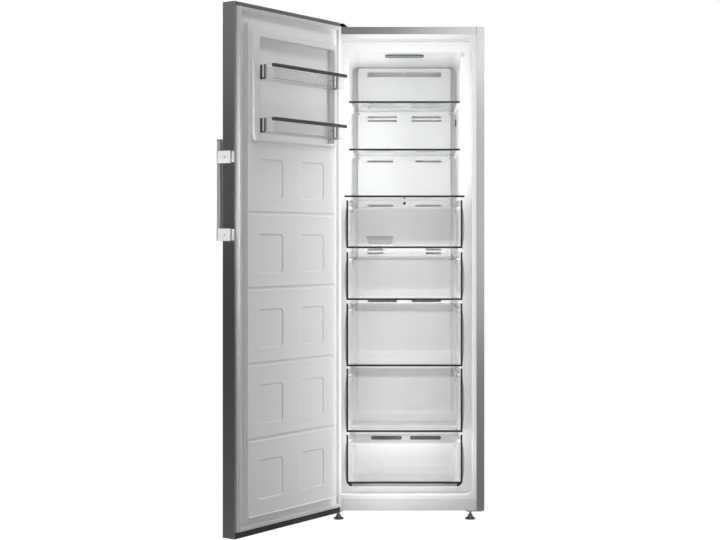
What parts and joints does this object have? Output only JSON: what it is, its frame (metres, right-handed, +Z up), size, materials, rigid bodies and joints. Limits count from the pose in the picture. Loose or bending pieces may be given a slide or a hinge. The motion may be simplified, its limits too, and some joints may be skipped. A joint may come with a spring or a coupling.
{
  "type": "upright freezer",
  "caption": "Tall free-standing freezer with a left-hung door standing open, clear drawers, glass shelves and door racks in a white insulated cabinet",
  "frame": {"origin": "on the floor, at the middle of the cabinet's width, in the plane of its front edge", "axes": "+X to the right seen from the front, +Y into the cabinet, +Z up"},
  "size_m": [0.9352, 1.1817, 1.8505],
  "materials": {
    "painted_steel": "satin silver-grey sheet",
    "galvanised": "bare coated sheet",
    "white_liner": "vacuum-formed white polystyrene, slight sheen",
    "white_plastic": "moulded white",
    "foam": "rigid polyurethane foam, hidden",
    "dark_plastic": "fine-grained dark grey",
    "grey_plastic": "moulded mid grey",
    "clear_plastic": "clear moulded styrene",
    "glass": "clear toughened shelf glass",
    "seal": "soft grey magnetic seal",
    "black_paint": "gloss black compressor shell",
    "rubber": "grommets",
    "steel": "zinc-plated",
    "handle_steel": "brushed bar and plates",
    "fins": "evaporator fins",
    "pan_plastic": "black drip tray"
  },
  "bodies": {
    "cabinet": {"outer_wrapper": "painted_steel", "inner_liner": "white_liner", "insulation": "foam", "front_rail": "painted_steel", "base_pan": "galvanised", "rear_panel": "galvanised", "compressor_base": "galvanised", "compressor": "black_paint", "compressor_mounts": "rubber", "drip_tray": "pan_plastic", "compartment_cover": "galvanised", "cord_gland": "dark_plastic", "evaporator_cover": "white_plastic", "evaporator": "fins", "fan_motor": "grey_plastic", "temperature_sensor": "dark_plastic", "control_panel": "dark_plastic", "blanking_caps": "grey_plastic", "return_grilles": "dark_plastic", "bottom_hinge": "steel", "top_hinge": "steel", "hinge_pins": "steel", "hinge_screws": "steel", "hinge_cover": "grey_plastic", "foot_plate": "steel"},
    "door": {"door_skin": "painted_steel", "door_end_caps": "dark_plastic", "door_foam": "foam", "door_liner": "white_liner", "door_gasket": "seal", "door_bushes": "grey_plastic", "handle_bar": "handle_steel", "handle_brackets": "dark_plastic", "handle_plates": "handle_steel"},
    "rack_upper": {"door_rack_upper": "clear_plastic", "rack_rail_upper": "dark_plastic"},
    "rack_lower": {"door_rack_lower": "clear_plastic", "rack_rail_lower": "dark_plastic"},
    "shelf_lower": {"shelf_glass_lower": "glass", "shelf_trim_lower": "dark_plastic"},
    "shelf_middle": {"shelf_glass_middle": "glass", "shelf_trim_middle": "dark_plastic"},
    "shelf_upper": {"shelf_glass_upper": "glass", "shelf_trim_upper": "dark_plastic"},
    "drawer_1": {"drawer_bin_1": "clear_plastic", "drawer_trim_1": "dark_plastic"},
    "drawer_2": {"drawer_bin_2": "clear_plastic", "drawer_trim_2": "dark_plastic"},
    "drawer_3": {"drawer_bin_3": "clear_plastic", "drawer_trim_3": "dark_plastic"},
    "drawer_4": {"drawer_bin_4": "clear_plastic", "drawer_trim_4": "dark_plastic"},
    "drawer_5": {"drawer_bin_5": "clear_plastic", "drawer_trim_5": "dark_plastic"},
    "ice_tray": {"ice_tray": "white_plastic"},
    "fan": {"fan_rotor": "grey_plastic"},
    "foot_left": {"foot_left": "dark_plastic"},
    "roller_left": {"roller_left": "dark_plastic"},
    "foot_right": {"foot_right": "dark_plastic"},
    "roller_right": {"roller_right": "dark_plastic"}
  },
  "joints": [
    {"name": "door_swing", "type": "hinge", "parent": "cabinet", "child": "door", "pos_m": [-0.2755, -0.049, 0.038], "axis": [0, 0, 1], "range_deg": [-10.7, 124.3]},
    {"name": "rack_upper_lift", "type": "slide", "parent": "door", "child": "rack_upper", "axis": [0, 0, 1], "range_m": [0, 0.03]},
    {"name": "rack_lower_lift", "type": "slide", "parent": "door", "child": "rack_lower", "axis": [0, 0, 1], "range_m": [0, 0.03]},
    {"name": "shelf_lower_slide", "type": "slide", "parent": "cabinet", "child": "shelf_lower", "axis": [0, 1, 0], "range_m": [-0.3, 0]},
    {"name": "shelf_middle_slide", "type": "slide", "parent": "cabinet", "child": "shelf_middle", "axis": [0, 1, 0], "range_m": [-0.3, 0]},
    {"name": "shelf_upper_slide", "type": "slide", "parent": "cabinet", "child": "shelf_upper", "axis": [0, 1, 0], "range_m": [-0.3, 0]},
    {"name": "drawer_1_slide", "type": "slide", "parent": "cabinet", "child": "drawer_1", "axis": [0, 1, 0], "range_m": [-0.27, 0]},
    {"name": "drawer_2_slide", "type": "slide", "parent": "cabinet", "child": "drawer_2", "axis": [0, 1, 0], "range_m": [-0.36, 0]},
    {"name": "drawer_3_slide", "type": "slide", "parent": "cabinet", "child": "drawer_3", "axis": [0, 1, 0], "range_m": [-0.36, 0]},
    {"name": "drawer_4_slide", "type": "slide", "parent": "cabinet", "child": "drawer_4", "axis": [0, 1, 0], "range_m": [-0.36, 0]},
    {"name": "drawer_5_slide", "type": "slide", "parent": "cabinet", "child": "drawer_5", "axis": [0, 1, 0], "range_m": [-0.36, 0]},
    {"name": "ice_tray_lift", "type": "slide", "parent": "drawer_5", "child": "ice_tray", "axis": [0, 0, 1], "range_m": [0, 0.08]},
    {"name": "fan_spin", "type": "hinge", "parent": "cabinet", "child": "fan", "pos_m": [0, 0.575, 0.732], "axis": [0, 1, 0], "continuous": true},
    {"name": "foot_left_turn", "type": "hinge", "parent": "cabinet", "child": "foot_left", "pos_m": [-0.247, 0.035, 0], "axis": [0, 0, 1], "continuous": true},
    {"name": "roller_left_roll", "type": "hinge", "parent": "cabinet", "child": "roller_left", "pos_m": [-0.262, 0.6, 0.018], "axis": [1, 0, 0], "continuous": true},
    {"name": "foot_right_turn", "type": "hinge", "parent": "cabinet", "child": "foot_right", "pos_m": [0.247, 0.035, 0], "axis": [0, 0, 1], "continuous": true},
    {"name": "roller_right_roll", "type": "hinge", "parent": "cabinet", "child": "roller_right", "pos_m": [0.262, 0.6, 0.018], "axis": [1, 0, 0], "continuous": true}
  ]
}
